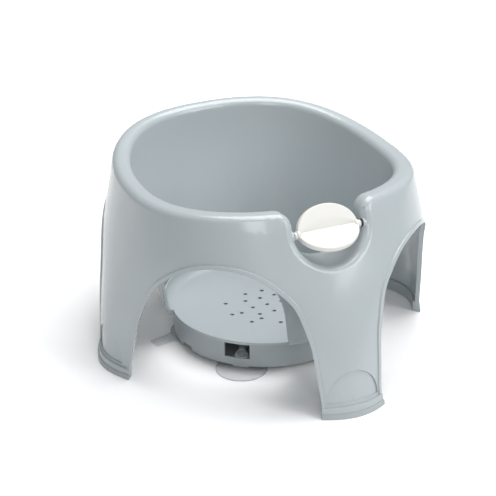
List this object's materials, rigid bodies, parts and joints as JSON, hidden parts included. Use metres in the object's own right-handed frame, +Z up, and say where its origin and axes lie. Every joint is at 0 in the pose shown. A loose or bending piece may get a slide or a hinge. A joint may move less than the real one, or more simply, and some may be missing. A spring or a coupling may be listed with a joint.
{
  "type": "baby bath ring",
  "caption": "Moulded bath seat ring on flared legs, with a turning play flap in a front notch and a suction-cup base under a drained pan.",
  "frame": {"origin": "on the floor under the middle of the ring: bottom centre of the bounding box", "axes": "+Z up, -Y towards the front with the notch and the play flap, +X to the ring's right seen from the front"},
  "size_m": [0.3754, 0.4205, 0.2153],
  "materials": {
    "grey_plastic": "polished injection-moulded polypropylene",
    "clear_soft": "clear soft vinyl",
    "grey_rubber": "satin elastomer, moulded in the body's colour",
    "white_plastic": "fine satin",
    "dark_plastic": "satin",
    "steel": "stainless, turned"
  },
  "bodies": {
    "ring": {"ring_body": "grey_plastic", "base_drum": "grey_plastic", "suction_cup_front_left": "clear_soft", "suction_cup_front_right": "clear_soft", "suction_cup_rear_left": "clear_soft", "suction_cup_rear_right": "clear_soft", "foot_pad_front": "grey_rubber", "foot_pad_rear": "grey_rubber", "foot_pad_left": "grey_rubber", "foot_pad_right": "grey_rubber", "axle_bush_left": "dark_plastic", "axle_bush_right": "dark_plastic", "base_screws": "steel"},
    "spinner": {"spinner_rear_half": "white_plastic", "spinner_front_half": "white_plastic", "spinner_axle": "steel"}
  },
  "joints": [
    {"name": "spinner_turn", "type": "hinge", "parent": "ring", "child": "spinner", "pos_m": [0, -0.138, 0.1735], "axis": [1, 0, 0], "continuous": true}
  ]
}
